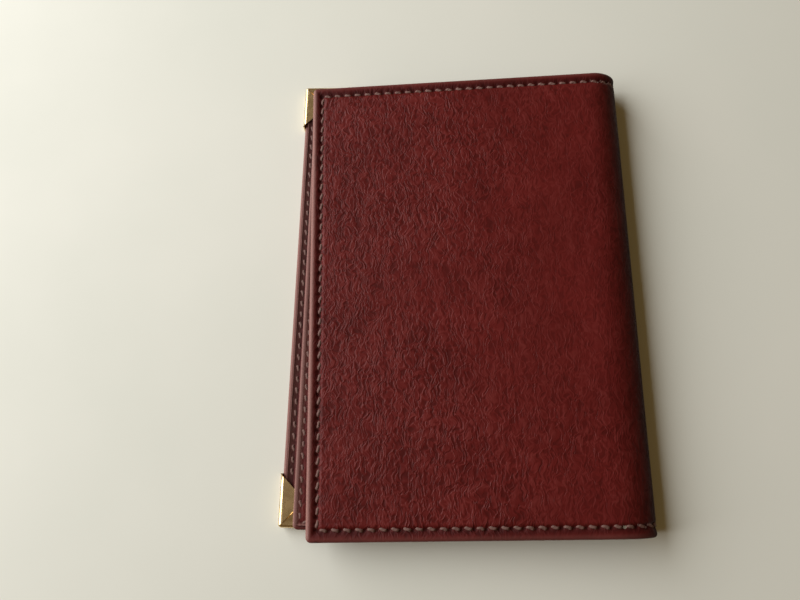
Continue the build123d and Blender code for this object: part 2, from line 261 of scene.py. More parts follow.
def on_page(u, v, w):
    """The point u from the page's hinge, v along it and w above the page's middle."""
    x = u * cos(PAGE_SKEW) + v * sin(PAGE_SKEW)
    y = FOLD_Y + PAGE_SHIFT - u * sin(PAGE_SKEW) + v * cos(PAGE_SKEW)
    out = FOLD_X + PAGE_HINGE + x * cos(PAGE_SLOPE) - w * sin(PAGE_SLOPE)
    z = RADIUS + x * sin(PAGE_SLOPE) + w * cos(PAGE_SLOPE)
    return np.stack(np.broadcast_arrays(out, y, z), -1)


def off_fold(a, b):
    """From 0 on the round part of the fold to 1 beside the boards."""
    s, _ = along_fold(a, b)
    return smooth(np.maximum(-s, s - FOLD_LENGTH) / BOARD_ROOT)


# ---- leather surface

def relief_at(a, b):
    """Soft pebbling and broad creases, -1 to 1, drawn out along the spine."""
    bent_a = a + 1.1 * noise(a / 4, b / 6, 11) + 3.5 * noise(a / 23, b / 29, 12)
    bent_b = b + 1.4 * noise(a / 5, b / 5, 13) + 3.5 * noise(a / 27, b / 21, 14)
    broad = noise(bent_a / 2.6, bent_b / 6.5, 16)
    small = noise(bent_a / 1.25, bent_b / 2.7, 17)
    crease = smooth(1 - 5 * np.abs(noise(bent_a / 5.5, bent_b / 14, 18)))
    return np.clip(0.5 * broad + 0.55 * small - 0.6 * crease, -1, 1)


def grain_at(a, b):
    """How strong the grain is, up to 1: weaker near the fold, and in patches."""
    from_fold = np.maximum(-a, a - FOLD_LENGTH)
    rise = GRAIN_RANGE[0] + GRAIN_RANGE[1] * smooth((from_fold - GRAIN_START) / GRAIN_SPREAD)
    patch = 1.0 + GRAIN_PATCHES * noise(a / 17, b / 22, 21)
    return np.clip(rise * patch, GRAIN_LEAST, 1)


def swell(a, b):
    """Slow unevenness of the leather over its board, in millimetres."""
    return SWELL[0] * noise(a / 26, b / 36, 31) + SWELL[1] * noise(a / 9, b / 12, 32)


def groove(inset, middle=STITCH_INSET):
    """Share of the channel that the stitches pull into a surface, steeper on the panel's side."""
    spread = np.where(inset < middle, GROOVE_OUTER, GROOVE_INNER)
    return np.exp(-(((inset - middle) / spread) ** 2))


def sewing_inset(a, b):
    """Distance inside the cover's sides, counted so that the stitches always lie at STITCH_INSET."""
    front = a - FRONT_EDGE + STITCH_INSET - FRONT_STITCH_INSET
    return np.minimum(np.minimum(front, BACK_EDGE - a), HALF - np.abs(b))


def painted_fold_shade(a, b):
    """Share of painted shade on the outside of the fold, strongest along its middle."""
    s, _ = along_fold(a, b)
    return FOLD_SHADE * np.exp(-(((s - FOLD_LENGTH / 2) / FOLD_SHADE_REACH) ** 2))


def run_pitch(length):
    """The stitches' spacing on a run, near the usual one, that fills it evenly."""
    return length / round(length / STITCH_PITCH)


END_RUN = (FRONT_EDGE + FRONT_STITCH_INSET, BACK_EDGE - STITCH_INSET)
SIDE_RUN = HALF - STITCH_INSET
END_PITCH = run_pitch(END_RUN[1] - END_RUN[0])
SIDE_PITCH = run_pitch(2 * SIDE_RUN)


def holes(a, b):
    """Share of the pits where the stitches enter the leather, over the flat sheet."""
    def pits(along, start, pitch, inset):
        turns = (along - start) / pitch
        off = (turns - np.round(turns)) * pitch
        return np.exp(-((off / HOLE_LENGTH) ** 2) - ((inset - STITCH_INSET + HOLE_SHIFT) / HOLE_WIDTH) ** 2)

    side_inset = np.minimum(a - END_RUN[0], END_RUN[1] - a) + STITCH_INSET
    end_pits = pits(a, END_RUN[0], END_PITCH, HALF - np.abs(b))
    side_pits = pits(b, -SIDE_RUN, SIDE_PITCH, side_inset)
    return np.maximum(end_pits * (side_inset > STITCH_INSET - 1), side_pits)


def rim_scuff_and_highlight(edge_inset, end_inset):
    """How pale a rim is painted: scuffing and a painted highlight, 1 along the open edges and much less
    along the ends, which face away from the light.
    """
    rim = smooth((PALE_RIM_REACH - np.minimum(edge_inset, end_inset)) / PALE_RIM_FADE)
    return rim * (END_SCUFF_AND_HIGHLIGHT + (1 - END_SCUFF_AND_HIGHLIGHT) * smooth(end_inset - edge_inset + 0.5))


def under_cap(a, b):
    """1 where a brass cap covers the front cover's corner."""
    return ((a - FRONT_EDGE) + (HALF - np.abs(b)) < CAP_LEG - CAP_ROOM) * 1.0


# ---- mesh building

class Outline:
    """A rounded rectangle from west to east, given as loops at any inset and a filling.

    East may be a function of b, for a side that follows the fold. An open outline has no
    east side. West may be either the smaller or the larger of the two.
    """

    def __init__(self, west, east, half, radius, spacing, is_open=False, turns=5):
        self.west = west
        self.east = east if callable(east) else (lambda b: east + 0 * b)
        self.half = half
        self.radius = radius
        self.is_open = is_open
        self.turns = turns
        width = self.east(0.0) - west
        self.side = 1 if width > 0 else -1
        self.columns = max(2, round(abs(width) / spacing))
        self.rows = max(2, round(2 * half / spacing))

    def loop(self, inset):
        """The loop at one inset, from the north-east corner round by the west."""
        middle = max(inset, self.radius)
        bend = middle - inset
        arc = np.linspace(0, pi / 2, self.turns + 2)[1:-1]
        share = np.linspace(0, 1, self.columns + 1)
        fall = np.linspace(1, -1, self.rows + 1)
        row = self.half - middle
        trim = 0 if self.is_open else middle
        from_west = [middle + 0 * share, middle - bend * np.sin(arc), inset + 0 * fall]
        from_west += [middle - bend * np.cos(arc), middle + 0 * share]
        b = [row + bend + 0 * share, row + bend * np.cos(arc), row * fall]
        b += [-row - bend * np.sin(arc), -row - bend + 0 * share]
        a = [self.west + self.side * place for place in from_west]
        a[0] = self.east(b[0]) - self.side * trim
        a[0] = a[0] + (self.west + self.side * middle - a[0]) * share
        a[4] = self.east(b[4]) - self.side * trim
        a[4] = a[4] + (self.west + self.side * middle - a[4]) * share[::-1]
        if not self.is_open:
            b += [-row - bend * np.cos(arc), -row * fall, row + bend * np.sin(arc)]
            insets = [middle - bend * np.sin(arc), inset + 0 * fall, middle - bend * np.cos(arc)]
            a += [self.east(place) - self.side * step for place, step in zip(b[5:], insets)]
        return np.concatenate(a), np.concatenate(b)

    def filling(self, inset):
        """Grid points inside the loop at that inset, in rows from the north."""
        b = np.linspace(self.half - inset, inset - self.half, self.rows + 1)[:, None]
        start = self.east(b) - (0 if self.is_open else self.side * inset)
        share = np.linspace(0, 1, self.columns + 1)[None, :]
        a = start + (self.west + self.side * inset - start) * share
        return a, np.broadcast_to(b, a.shape)

    def border(self):
        """For each point of a loop, the number of the filling's point that it meets."""
        wide = self.columns + 1
        top = np.arange(wide)
        down = np.arange(self.rows + 1) * wide
        bend = np.zeros(self.turns, int)
        found = [top, bend + wide - 1, down + wide - 1, bend + down[-1] + wide - 1, down[-1] + top[::-1]]
        if not self.is_open:
            found += [bend + down[-1], down[::-1], bend]
        return np.concatenate(found)

    def inset_of(self, a, b):
        """How far inside the straight sides a place is."""
        found = np.minimum((a - self.west) * self.side, self.half - np.abs(b))
        if not self.is_open:
            found = np.minimum(found, (self.east(b) - a) * self.side)
        return found


class Surface:
    """Gathers points as rows of values (flat a and b first), and the faces over them."""

    def __init__(self, outline=None):
        self.outline = outline
        self.rows = []
        self.faces = []
        self.count = 0

    def add(self, *values):
        """Adds points and returns their numbers, in the values' shape."""
        values = np.broadcast_arrays(*values)
        self.rows.append(np.stack([v.ravel() for v in values], -1))
        first = self.count
        self.count += values[0].size
        return first + np.arange(values[0].size).reshape(values[0].shape)

    def add_loop(self, a, b, *values, gathered=False):
        """Adds a loop of the outline. A gathered one has its corners drawn to points."""
        numbers = self.add(a, b, *values)
        if gathered:
            first = {}
            meets = self.outline.border().tolist()
            numbers = np.array([first.setdefault(m, n) for m, n in zip(meets, numbers.tolist())])
        return numbers

    def add_filling(self, inset, *values, turned=False):
        """Adds the outline's filling at an inset and returns the numbers along its border."""
        a, b = self.outline.filling(inset)
        grid = self.add(a, b, *values)
        self.join(grid[::-1] if turned else grid)
        return grid.ravel()[self.outline.border()]

    def join(self, grid, wrapped=False):
        """Adds the faces over a grid of numbers."""
        if wrapped:
            grid = np.concatenate([grid, grid[:, :1]], axis=1)
        corners = [grid[:-1, :-1], grid[:-1, 1:], grid[1:, 1:], grid[1:, :-1]]
        self.faces.append(np.stack(corners, -1).reshape(-1, 4))

    def join_loops(self, loops):
        """Adds the faces between loops of the outline."""
        self.join(np.array(loops), wrapped=not self.outline.is_open)

    def finished(self):
        """The rows and the faces, with pinched faces mended and unused points left out."""
        rows = np.concatenate(self.rows)
        faces = np.concatenate(self.faces)
        ordered = np.sort(faces, axis=1)
        pinched = (ordered[:, 1:] == ordered[:, :-1]).any(axis=1)
        mended = [list(dict.fromkeys(corners)) for corners in faces[pinched].tolist()]
        kept = faces[~pinched].tolist() + [corners for corners in mended if len(corners) > 2]
        used = np.zeros(len(rows), bool)
        used[[number for corners in kept for number in corners]] = True
        new = np.cumsum(used) - 1
        return rows[used], [[int(new[number]) for number in corners] for corners in kept]


def make_object(name, points, faces, material, flat=None, layers=None, turned=False, closed=False):
    """A smooth-shaded object from points in millimetres, with point layers and flat places as UV."""
    mesh = bpy.data.meshes.new(name)
    mesh.from_pydata((points * MM).tolist(), [], faces)
    for label, values in (layers or {}).items():
        layer = mesh.attributes.new(label, "FLOAT", "POINT")
        layer.data.foreach_set("value", np.ascontiguousarray(values, np.float32))
    if flat is not None:
        corner = np.zeros(len(mesh.loops), np.int32)
        mesh.loops.foreach_get("vertex_index", corner)
        uv = mesh.uv_layers.new(name="flat")
        uv.data.foreach_set("uv", (flat[corner] / 100).astype(np.float32).ravel())
    mesh.polygons.foreach_set("use_smooth", np.ones(len(mesh.polygons), bool))
    if turned:
        mesh.flip_normals()
    if closed:
        shape = bmesh.new()
        shape.from_mesh(mesh)
        bmesh.ops.recalc_face_normals(shape, faces=shape.faces)
        shape.to_mesh(mesh)
        shape.free()
    mesh.materials.append(material)
    mesh.update()
    piece = bpy.data.objects.new(name, mesh)
    bpy.context.scene.collection.objects.link(piece)
    return piece


def half_round(steps=13):
    """Shares across and through a rounded edge, from its inner side round to its outer side."""
    turn = np.linspace(-pi / 2, pi / 2, steps)
    across = 1 - np.abs(np.cos(turn)) ** 0.85
    through = 0.5 - 0.5 * np.sign(turn) * np.abs(np.sin(turn)) ** 0.85
    return list(zip(across.tolist(), through.tolist()))


def turned_edge(reach):
    """Section of a cover's turned edge: insets, and depth as a share of the thickness.

    It starts at the inner side's flange, goes round the rim, and ends on the outer face.
    """
    section = [(FLANGE, 1 - FLANGE_STEP / COVER_THICK), (FLANGE, 0.95), (FLANGE - 0.12, 1.0)]
    section += [(inset, 1.0) for inset in np.arange(FLANGE - 0.5, RIM_WIDTH + 0.2, -0.4)]
    section += [(RIM_WIDTH * across, through) for across, through in half_round()]
    section += [(inset, 0.0) for inset in np.arange(RIM_WIDTH + 0.25, reach, 0.3)]
    return section


def cover_surface(a, b, inset, share):
    """True depth of the covers' leather, and the layers its material reads."""
    relief = relief_at(a, b)
    grain = grain_at(a, b) * smooth((inset - 0.5) / 3.5 + 0.25)
    thick = SPINE_THICK + (COVER_THICK - SPINE_THICK) * off_fold(a, b)
    pits = holes(a, b)
    sewn = sewing_inset(a, b)
    channel = groove(sewn)
    panel = PANEL_SINK * smooth((sewn - STITCH_INSET) / 2)
    outer = panel + GROOVE_DEPTH * channel + HOLE_DEPTH * pits
    outer = outer - RELIEF_DEPTH * grain * relief - swell(a, b) * smooth((inset - 4) / 8) + PANEL_SINK / 2
    outer = np.maximum(outer, under_cap(a, b) * (CAP_SHEET + CAP_BED))
    inner = thick - 0.7 * GROOVE_DEPTH * channel - 0.6 * HOLE_DEPTH * pits
    depth = np.where(share <= 0, np.maximum(outer, 0.0), np.where(share >= 1, inner, share * thick))
    layers = {
        "relief": 0.5 + 0.5 * relief,
        "grain": grain,
        # Pale rims: scuffing and a painted highlight, strongest on the open edges
        "scuff_and_highlight": rim_scuff_and_highlight(np.minimum(a - FRONT_EDGE, BACK_EDGE - a), HALF - np.abs(b)),
        # Painted shade in the stitch groove and holes, and along the outside of the fold
        "dark": np.maximum(np.maximum(0.6 * groove(sewn + 0.7), pits), painted_fold_shade(a, b)),
    }
    return depth, layers


def cover_object(name, surface, turned):
    """The finished leather from rows of flat a, flat b, inset and depth share."""
    rows, faces = surface.finished()
    a, b, inset, share = rows.T
    depth, layers = cover_surface(a, b, inset, share)
    return make_object(name, folded(a, b, depth), faces, COVER_LEATHER, rows[:, :2], layers, turned)


def cover_leather(name, edge, end):
    """One cover's leather, from its open edge to a line along the fold."""
    outline = Outline(edge, lambda b: sheet_at(end, b), HALF, CORNER_RADIUS, FINE, is_open=True)
    surface = Surface(outline)
    loops = []
    for inset, share in turned_edge(RIM_REACH):
        a, b = outline.loop(inset)
        loops.append(surface.add_loop(a, b, inset, share, gathered=inset >= CORNER_RADIUS))
    a, b = outline.filling(RIM_REACH)
    loops.append(surface.add_filling(RIM_REACH, outline.inset_of(a, b), 0.0))
    surface.join_loops(loops)
    return cover_object(name, surface, turned=outline.side > 0)


def fold_leather(name, start, end):
    """A strip of the fold's leather between two lines along it, with its two turned ends."""
    section = turned_edge(RIM_REACH)
    middle = np.arange(HALF - RIM_REACH, RIM_REACH - HALF, -FINE)
    b = np.array([HALF - inset for inset, share in section])
    inset = np.array([inset for inset, share in section])
    share = np.array([share for inset, share in section])
    b = np.concatenate([b, middle, -b[::-1]])[:, None]
    inset = np.concatenate([inset, HALF - np.abs(middle), inset[::-1]])[:, None]
    share = np.concatenate([share, 0 * middle, share[::-1]])[:, None]
    across = sheet_at(np.linspace(start, end, 13)[None, :], b)
    surface = Surface()
    surface.join(surface.add(across, b, inset, share))
    return cover_object(name, surface, turned=True)


def plate(name, outline, place, levels, material, rim, shape=None):
    """A thin closed sheet with rounded edges, between two levels.

    place turns flat places and levels into points. shape gives the top's change of level
    from flat places and insets.
    """
    under, top = levels
    surface = Surface(outline)
    edge = max(2.2 * rim, outline.radius)
    section = [(rim * across, through) for across, through in half_round(7)]
    section = [(inset, 1 - share) for inset, share in section]
    steps = np.arange(edge + 0.3, SHAPED_REACH, RIM_STEP) if shape is not None else []
    last = steps[-1] + 0.3 if len(steps) else edge
    section += [(inset, 1.0) for inset in steps]
    loops = [surface.add_filling(edge, 0.0, 0.0, turned=True)]
    for inset, share in section:
        a, b = outline.loop(inset)
        loops.append(surface.add_loop(a, b, inset, share, gathered=inset >= outline.radius))
    a, b = outline.filling(last)
    loops.append(surface.add_filling(last, outline.inset_of(a, b), 1.0))
    surface.join_loops(loops)
    rows, faces = surface.finished()
    a, b, inset, share = rows.T
    level = under + (top - under) * share
    change = 0 * level if shape is None else shape(a, b, inset) * (share >= 1)
    layers = {
        "relief": 0.5 + 0.5 * relief_at(1.2 * a + 400, 1.2 * b),
        "grain": np.full(len(a), 0.5),
        # A pale rim: scuffing and a painted highlight
        "scuff_and_highlight": smooth((0.8 - inset) / 0.8),
        # Painted shade where the top sinks, in the sewn groove and the hem
        "dark": 0.65 * smooth((-change - 0.08) / 0.15),
    }
    return make_object(name, place(a, b, level + change), faces, material, rows[:, :2], layers, closed=True)


# ---- stitches

def stitches(name, groups, place, material):
    """Slanted stitches of twisted thread, whose ends dip into their holes.

    Each group is a list of (a, b, heading), the level of the surface, and the sign of the
    level's direction out of it. The thread's top just reaches that level.
    """
    along = np.linspace(-1, 1, 13)[:, None]
    around = np.linspace(0, 2 * pi, 9)[None, :-1]
    dip = THREAD_DIP * along ** 4
    surface = Surface()
    caps = []
    for places, level, out in groups:
        for number, (a, b, heading) in enumerate(places):
            odd = lattice(np.array(number), np.array(int(abs(7 * a) + abs(3 * b))), 41) - 0.5
            turn = heading + STITCH_SLANT + 0.14 * odd
            ply = 1 + THREAD_PLY * np.cos(2 * around - 5.5 * along + 9 * odd)
            thick = THREAD_RADIUS * (1 + 0.12 * odd) * (1 - 0.4 * along ** 6) * ply
            step = along * STITCH_LENGTH / 2 * (1 + 0.06 * odd)
            side = thick * np.cos(around) + 0.1 * odd * along ** 2
            height = thick * np.sin(around) - 1.15 * THREAD_RADIUS - dip
            at_a = a + step * cos(turn) - side * sin(turn)
            at_b = b + step * sin(turn) + side * cos(turn)
            grid = surface.add(at_a, at_b, level + out * height, along + 0 * side, around + 0 * step)
            surface.join(grid, wrapped=True)
            caps += [grid[0].tolist(), grid[-1].tolist()[::-1]]
    rows, faces = surface.finished()
    points = place(rows[:, 0], rows[:, 1], rows[:, 2])
    return make_object(name, points, faces + caps, material, rows[:, 3:5] * 10, closed=True)


def three_sides(reach, half, inset, root):
    """Stitches round a panel's open edge and two ends, as distances from its root line."""
    line = reach - inset
    end = half - inset
    places = []
    pitch = run_pitch(line - root)
    for number in range(round((line - root) / pitch)):
        at = -line + (number + 0.5) * pitch
        places += [(at, end, 0.0), (at, -end, 0.0)]
    pitch = run_pitch(2 * end)
    for number in range(round(2 * end / pitch)):
        places.append((-line, -end + (number + 0.5) * pitch, pi / 2))
    return places


def sheet_stitches():
    """All stitches of the covers and the fold, on the flat sheet."""
    places = []
    for number in range(round((END_RUN[1] - END_RUN[0]) / END_PITCH)):
        at = END_RUN[0] + (number + 0.5) * END_PITCH
        places += [(at, SIDE_RUN, 0.0), (at, -SIDE_RUN, 0.0)]
    for number in range(round(2 * SIDE_RUN / SIDE_PITCH)):
        at = -SIDE_RUN + (number + 0.5) * SIDE_PITCH
        places += [(END_RUN[0], at, pi / 2), (END_RUN[1], at, pi / 2)]
    clear = CAP_LEG + STITCH_LENGTH / 2
    return [p for p in places if (p[0] - FRONT_EDGE) + (HALF - abs(p[1])) > clear]


# ---- materials

def new_material(name, roughness, metallic=0.0):
    """A node material, its shader, and a function that adds nodes to it."""
    made = bpy.data.materials.new(name)
    made.use_nodes = True
    tree = made.node_tree
    shader = tree.nodes["Principled BSDF"]
    shader.inputs["Roughness"].default_value = roughness
    shader.inputs["Metallic"].default_value = metallic

    def node(kind, inputs=None, **settings):
        new = tree.nodes.new("ShaderNode" + kind)
        for key, value in settings.items():
            setattr(new, key, value)
        for key, value in (inputs or {}).items():
            new.inputs[key].default_value = value
        return new

    return made, shader, node


def link(output, socket):
    """Joins an output to an input of the same material."""
    socket.id_data.links.new(output, socket)


def flat_places(node, stretch=(1, 1)):
    """Flat places in millimetres, as texture coordinates."""
    uv = node("UVMap", uv_map="flat")
    grow = node("VectorMath", {1: (100 * stretch[0], 100 * stretch[1], 1)}, operation="MULTIPLY")
    link(uv.outputs[0], grow.inputs[0])
    return grow.outputs[0]


def colours(node, stops):
    """A colour ramp."""
    made = node("ValToRGB")
    elements = made.color_ramp.elements
    while len(elements) < len(stops):
        elements.new(0.5)
    for element, (place, colour) in zip(elements, stops):
        element.position = place
        element.color = (*colour, 1)
    return made


def maths(node, operation, first, second, third=None):
    """A math node on outputs or numbers; returns its output."""
    made = node("Math", operation=operation)
    for number, value in enumerate((first, second, third)):
        if value is None:
            continue
        if isinstance(value, (int, float)):
            made.inputs[number].default_value = value
        else:
            link(value, made.inputs[number])
    return made.outputs[0]


def texture(node, kind, where, scale, output, **settings):
    """A texture node at given coordinates; returns one output."""
    numbers = {key: value for key, value in settings.items() if key[0].isupper()}
    choices = {key: value for key, value in settings.items() if not key[0].isupper()}
    made = node("Tex" + kind, {"Scale": scale, **numbers}, **choices)
    link(where, made.inputs["Vector"])
    return made.outputs[output]


def ridges(node, wave, steepness):
    """Thin ridges, up to 1 high, along the middle level of a noise output."""
    off = maths(node, "ABSOLUTE", maths(node, "SUBTRACT", wave, 0.5), 0)
    return maths(node, "MAXIMUM", maths(node, "MULTIPLY_ADD", off, -steepness, 1.0), 0.0)


def add_bump(node, shader, height, depth, strength=1.0):
    """Bump from a height output, depth in millimetres for a height of one."""
    bump = node("Bump", {"Distance": depth * MM})
    link(height, bump.inputs["Height"])
    if isinstance(strength, (int, float)):
        bump.inputs["Strength"].default_value = strength
    else:
        link(strength, bump.inputs["Strength"])
    link(bump.outputs[0], shader.inputs["Normal"])


def leather_material(name, shaded_valley, body, lit_ridge, scuffed_and_lit, gloss):
    """Grained leather: wrinkles drawn out along the spine, pale rims, a dark sewn groove.

    Its colour is painted shade in the wrinkles' valleys and painted highlight on their ridges. The pale rims
    are scuffing with a painted highlight; the dark groove, the stitch holes and the fold's outside are
    painted shade. It reads point layers for the relief, the grain's strength, the pale rims and the painted
    shade.
    """
    made, shader, node = new_material(name, gloss)
    shader.inputs["Specular IOR Level"].default_value = 0.12
    layer = {}
    for key in ("relief", "grain", "scuff_and_highlight", "dark"):
        layer[key] = node("Attribute", attribute_name=key).outputs["Fac"]
    places = flat_places(node)
    drift = texture(node, "Noise", places, 0.22, "Color", Detail=2.0)
    shift = node("VectorMath", {1: (4.0, 4.0, 0)}, operation="MULTIPLY")
    link(drift, shift.inputs[0])
    moved = node("VectorMath", operation="ADD")
    link(places, moved.inputs[0])
    link(shift.outputs[0], moved.inputs[1])
    drawn = node("VectorMath", {1: (1.0, 0.42, 1)}, operation="MULTIPLY")
    link(moved.outputs[0], drawn.inputs[0])
    drawn = drawn.outputs[0]
    wave = texture(node, "Noise", drawn, 0.85, "Fac", Detail=1.0, Distortion=0.5)
    folds = ridges(node, wave, 7.0)
    long_wave = texture(node, "Noise", drawn, 0.42, "Fac", Detail=1.0, Distortion=0.8)
    creases = ridges(node, long_wave, 12.0)
    cell = texture(node, "Voronoi", drawn, 1.25, "Distance", feature="SMOOTH_F1", Smoothness=0.5)
    pebble = maths(node, "SUBTRACT", 1.0, cell)
    fine = texture(node, "Noise", moved.outputs[0], 3.4, "Fac", Detail=3.0)
    height = maths(node, "MULTIPLY_ADD", folds, 0.55, maths(node, "MULTIPLY", pebble, 0.45))
    height = maths(node, "MULTIPLY_ADD", creases, 0.45, height)
    height = maths(node, "MULTIPLY_ADD", fine, 0.05, height)
    add_bump(node, shader, height, 0.135, layer["grain"])

    # Colour follows height: painted shade in the valleys, painted highlight on the ridges and the raised
    # relief
    above = maths(node, "SUBTRACT", height, 0.6)
    raised = maths(node, "SUBTRACT", layer["relief"], 0.5)
    tone = maths(node, "MULTIPLY_ADD", above, layer["grain"], 0.5)
    tone = maths(node, "MULTIPLY_ADD", raised, 0.3, tone)
    colour = colours(node, [(0.1, shaded_valley), (0.5, body), (0.95, lit_ridge)])
    link(tone, colour.inputs[0])
    cloud = texture(node, "Noise", places, 0.05, "Fac", Detail=4.0)
    cast = colours(node, [(0.3, (0.86, 0.84, 0.84)), (0.7, (1.1, 1.12, 1.12))])
    link(cloud, cast.inputs[0])
    mixed = node("Mix", {0: 1.0}, data_type="RGBA", blend_type="MULTIPLY")
    link(colour.outputs[0], mixed.inputs[6])
    link(cast.outputs[0], mixed.inputs[7])
    # Pale rims: scuffing and a painted highlight
    pale_rims = node("Mix", {7: (*scuffed_and_lit, 1)}, data_type="RGBA")
    patchy = maths(node, "MULTIPLY_ADD", fine, 0.8, 0.1)
    link(maths(node, "MULTIPLY", layer["scuff_and_highlight"], patchy), pale_rims.inputs[0])
    link(mixed.outputs[2], pale_rims.inputs[6])
    # Painted shade: the dark layer darkens the groove, the stitch holes and the fold's outside
    sunk = node("Mix", {7: (0.16, 0.11, 0.1, 1)}, data_type="RGBA", blend_type="MULTIPLY")
    link(layer["dark"], sunk.inputs[0])
    link(pale_rims.outputs[2], sunk.inputs[6])
    link(sunk.outputs[2], shader.inputs["Base Color"])
    dull = maths(node, "MULTIPLY_ADD", height, -0.12, gloss + 0.1)
    dull = maths(node, "MULTIPLY_ADD", layer["dark"], 0.3, dull)
    link(dull, shader.inputs["Roughness"])
    return made


def thread_material():
    """Waxed twisted thread, dusty against the leather."""
    made, shader, node = new_material("thread", 0.65)
    places = flat_places(node, (0.1, 0.1))
    twist = texture(node, "Wave", places, 1.1, "Fac", bands_direction="DIAGONAL", Distortion=0.8)
    fuzz = texture(node, "Noise", places, 7.0, "Fac", Detail=3.0)
    mixed = maths(node, "MULTIPLY_ADD", twist, 0.5, maths(node, "MULTIPLY", fuzz, 0.5))
    dark, middle, light = (0.07, 0.03, 0.026), (0.155, 0.07, 0.056), (0.25, 0.135, 0.112)
    colour = colours(node, [(0.15, dark), (0.5, middle), (0.85, light)])
    link(mixed, colour.inputs[0])
    link(colour.outputs[0], shader.inputs["Base Color"])
    add_bump(node, shader, mixed, 0.08)
    return made


def lining_material():
    """Fine plain-woven lining cloth."""
    made, shader, node = new_material("lining_cloth", 0.82)
    places = flat_places(node)
    over = texture(node, "Wave", places, 0.75, "Fac", bands_direction="X", Distortion=0.25)
    under = texture(node, "Wave", places, 0.75, "Fac", bands_direction="Y", Distortion=0.25)
    weave = maths(node, "MAXIMUM", over, under)
    slub = texture(node, "Noise", places, 0.5, "Fac", Detail=6.0)
    colour = colours(node, [(0.1, (0.022, 0.006, 0.006)), (0.7, (0.085, 0.02, 0.018))])
    link(maths(node, "MULTIPLY", weave, slub), colour.inputs[0])
    link(colour.outputs[0], shader.inputs["Base Color"])
    add_bump(node, shader, weave, 0.05, 0.6)
    shader.inputs["Sheen Weight"].default_value = 0.08
    return made


def speckled_material(name, scale, low, high, dull_range, metallic=0.0, depth=0.0):
    """A material whose colour and roughness follow fine noise over the object."""
    made, shader, node = new_material(name, dull_range[0], metallic)
    places = node("TexCoord").outputs["Object"]
    cloud = texture(node, "Noise", places, scale, "Fac", Detail=6.0)
    colour = colours(node, [(0.3, low), (0.7, high)])
    link(cloud, colour.inputs[0])
    link(colour.outputs[0], shader.inputs["Base Color"])
    dull = node("MapRange", {1: 0.3, 2: 0.7, 3: dull_range[0], 4: dull_range[1]})
    link(cloud, dull.inputs[0])
    link(dull.outputs[0], shader.inputs["Roughness"])
    if depth > 0:
        rub = texture(node, "Noise", places, 6 * scale, "Fac", Detail=2.0)
        add_bump(node, shader, rub, depth, 0.4)
    return made, shader


COVER_LEATHER = leather_material(
    "cover_leather",
    shaded_valley=(0.07, 0.0063, 0.0053), body=(0.107, 0.01, 0.0088), lit_ridge=(0.14, 0.02, 0.018),
    scuffed_and_lit=(0.42, 0.24, 0.21), gloss=0.4,
)
POCKET_LEATHER = leather_material(
    "pocket_leather",
    shaded_valley=(0.045, 0.003, 0.0025), body=(0.085, 0.007, 0.006), lit_ridge=(0.12, 0.018, 0.015),
    scuffed_and_lit=(0.36, 0.2, 0.175), gloss=0.45,
)
THREAD = thread_material()
LINING_CLOTH = lining_material()
BRASS, _ = speckled_material(
    "brass", 420, (0.62, 0.43, 0.22), (0.84, 0.64, 0.37), (0.32, 0.22), metallic=1.0, depth=0.02
)
BOARD, _ = speckled_material(
    "binder_board", 900, (0.16, 0.13, 0.1), (0.34, 0.29, 0.22), (0.95, 0.85), depth=0.03
)
FILM, film_shader = speckled_material(
    "window_film", 300, (0.86, 0.88, 0.9), (0.93, 0.95, 0.96), (0.06, 0.25)
)
film_shader.inputs["Alpha"].default_value = 0.3


# ---- pieces


def bend(piece, first, second, angle, slot):
    """Bakes a piece's placement into its mesh."""
    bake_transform(piece)


# Each strip of leather: name, its two bodies, its hinge's angle, and its reach round the fold
STRIPS = (
    ("front", "front_cover", "spine_front", 22.5, -FAR, QUARTER),
    ("lower", "spine_front", "spine_middle", 67.5, QUARTER, 2 * QUARTER),
    ("upper", "spine_middle", "spine_back", 112.5, 2 * QUARTER, 3 * QUARTER),
    ("back", "spine_back", "back_cover", 157.5, 3 * QUARTER, FAR),
)
# The two covers' strips: open edge, where the fold begins, the strip's end, and the way inwards
COVERS = {
    "front": (FRONT_EDGE, 0.0, QUARTER, 1),
    "back": (BACK_EDGE, FOLD_LENGTH, 3 * QUARTER, -1),
}


def lining_place(a, b, share):
    """Places on the lining, which steps down past the boards into the fold."""
    out = off_fold(a, b)
    under = SPINE_LINING[0] + (LINING[0] - SPINE_LINING[0]) * out
    top = SPINE_LINING[1] + (LINING[1] - SPINE_LINING[1]) * out
    return folded(a, b, under + (top - under) * share)


def spine_lining_place(s, b, share):
    """The same, from a distance s round the fold."""
    return lining_place(sheet_at(s, b), b, share)


def cover_pocket(name, edge, fold_edge, side):
    """The passport sleeve inside one cover, with its hemmed mouth and its sewn groove."""
    west = edge + side * POCKET_INSET
    mouth = fold_edge - side * POCKET_MOUTH

    def shape(a, b, inset):
        hem = np.exp(-((((mouth - a) * side - HEM) / HEM_WIDTH) ** 2))
        rough = 0.03 * relief_at(a + 60, b) + 0.04 * noise(a / 15, b / 21, 51)
        channel = 0.8 * GROOVE_DEPTH * groove(sewing_inset(a, b)) + 0.1 * holes(a, b)
        return rough - channel - HEM_DEPTH * hem - POCKET_SINK

    outline = Outline(west, mouth, HALF - POCKET_INSET, CORNER_RADIUS, MEDIUM)
    return plate(name, outline, folded, POCKET, POCKET_LEATHER, POCKET_RIM, shape)


